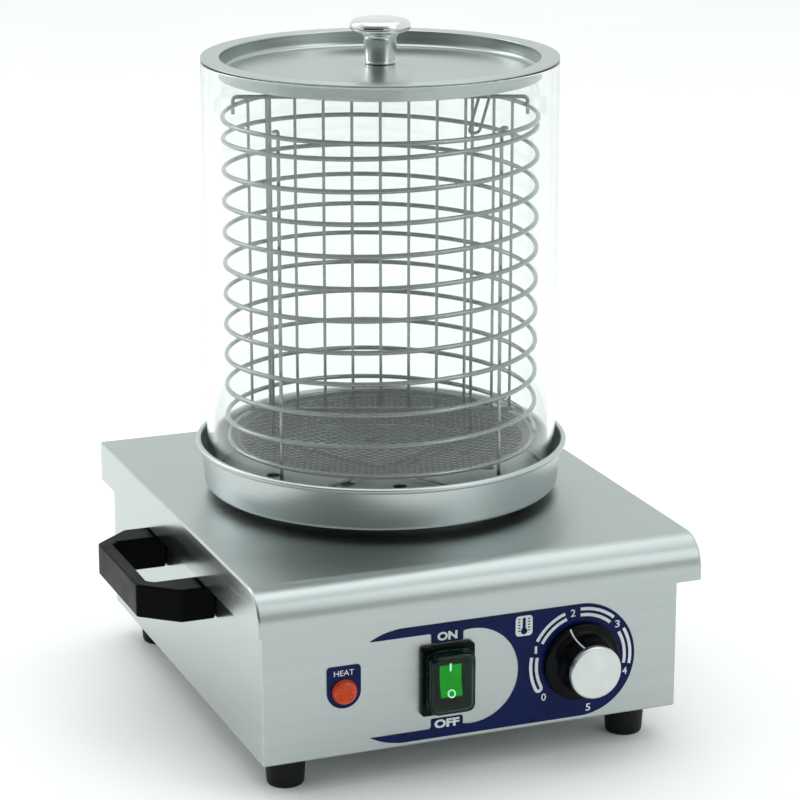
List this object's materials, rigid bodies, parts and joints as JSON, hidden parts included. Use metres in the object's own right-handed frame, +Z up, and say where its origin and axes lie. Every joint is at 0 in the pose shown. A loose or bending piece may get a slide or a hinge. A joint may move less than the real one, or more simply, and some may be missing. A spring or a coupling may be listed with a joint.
{
  "type": "hot dog steamer",
  "caption": "Counter-top hot dog steamer: stainless heated base with dial and switch, water pan, glass cylinder, wire basket with divider and a lift-off lid with chrome knob.",
  "frame": {"origin": "on the table under the middle of the object's outline box", "axes": "+Z up, -Y towards the user (the control panel faces -Y), +X to the user's right"},
  "size_m": [0.3224, 0.312, 0.3926],
  "materials": {
    "stainless_sheet": "brushed satin",
    "stainless_formed": "spun, half bright",
    "stainless_wire": "polished wire",
    "clear_glass": "clear, polished",
    "chrome_knob": "mirror chrome",
    "zinc_fastener": "zinc plated",
    "black_rubber": "moulded",
    "black_plastic": "fine grained",
    "blue_film": "printed film",
    "amber_lens": "ribbed translucent",
    "green_rocker": "translucent, lit",
    "green_hood": "soft translucent",
    "knob_silver": "spun",
    "heater_alloy": "cast",
    "copper_capillary": "drawn",
    "cutout_ceramic": "plain",
    "wire_brown": "silicone sleeve",
    "wire_blue": "silicone sleeve",
    "wire_green": "silicone sleeve"
  },
  "bodies": {
    "base": {"top_cover": "stainless_sheet", "body_shell": "stainless_sheet", "bottom_plate": "stainless_sheet", "foot_fl": "black_rubber", "foot_fr": "black_rubber", "foot_rl": "black_rubber", "foot_rr": "black_rubber", "foot_screw_fl": "zinc_fastener", "foot_screw_fr": "zinc_fastener", "foot_screw_rl": "zinc_fastener", "foot_screw_rr": "zinc_fastener", "base_screw_1": "zinc_fastener", "base_screw_2": "zinc_fastener", "base_screw_3": "zinc_fastener", "base_screw_4": "zinc_fastener", "handle_left": "black_plastic", "handle_right": "black_plastic", "handle_screw_left_front": "zinc_fastener", "handle_screw_left_rear": "zinc_fastener", "handle_screw_right_front": "zinc_fastener", "handle_screw_right_rear": "zinc_fastener", "panel_film": "blue_film", "lamp_film": "blue_film", "lamp_lens": "amber_lens", "lamp_body": "black_plastic", "switch_body": "black_plastic", "switch_hood": "green_hood", "thermostat_body": "black_plastic", "thermostat_bulb": "copper_capillary", "heater_plate": "heater_alloy", "heating_element": "stainless_formed", "clamp_bar": "stainless_formed", "clamp_nut": "zinc_fastener", "thermal_cutout": "cutout_ceramic", "cable_gland": "black_plastic", "gland_nut": "black_plastic", "terminal_block": "black_plastic", "earth_stud": "zinc_fastener", "wire_live": "wire_brown", "wire_switched": "wire_brown", "wire_heater": "wire_brown", "wire_neutral": "wire_blue", "wire_lamp": "wire_blue", "wire_earth": "wire_green"},
    "knob": {"knob_body": "black_plastic", "knob_cap": "knob_silver", "knob_spindle": "zinc_fastener"},
    "rocker": {"switch_rocker": "green_rocker"},
    "pan": {"water_pan": "stainless_formed"},
    "plate": {"steam_plate": "stainless_formed"},
    "glass": {"glass_cylinder": "clear_glass"},
    "basket": {"basket_coil": "stainless_wire", "basket_top_ring": "stainless_wire", "basket_low_ring": "stainless_wire", "basket_frame": "stainless_wire", "basket_floor": "stainless_wire"},
    "divider": {"divider": "stainless_wire"},
    "lid": {"lid_dish": "stainless_formed", "lid_knob": "chrome_knob", "lid_screw": "zinc_fastener"}
  },
  "joints": [
    {"name": "knob_turn", "type": "hinge", "parent": "base", "child": "knob", "pos_m": [0.0627, -0.14, 0.0552], "axis": [0, 1, 0], "range_deg": [-109, 191]},
    {"name": "rocker_tilt", "type": "hinge", "parent": "base", "child": "rocker", "pos_m": [-0.0166, -0.1355, 0.0563], "axis": [1, 0, 0], "range_deg": [0, 14]},
    {"name": "pan_lift", "type": "slide", "parent": "base", "child": "pan", "axis": [0, 0, 1], "range_m": [0, 0.06]},
    {"name": "plate_lift", "type": "slide", "parent": "pan", "child": "plate", "axis": [0, 0, 1], "range_m": [0, 0.045]},
    {"name": "glass_lift", "type": "slide", "parent": "plate", "child": "glass", "axis": [0, 0, 1], "range_m": [0, 0.045]},
    {"name": "basket_lift", "type": "slide", "parent": "glass", "child": "basket", "axis": [0, 0, 1], "range_m": [0, 0.255]},
    {"name": "divider_lift", "type": "slide", "parent": "basket", "child": "divider", "axis": [0, 0, 1], "range_m": [0, 0.2]},
    {"name": "lid_lift", "type": "slide", "parent": "divider", "child": "lid", "axis": [0, 0, 1], "range_m": [0, 0.06]}
  ]
}
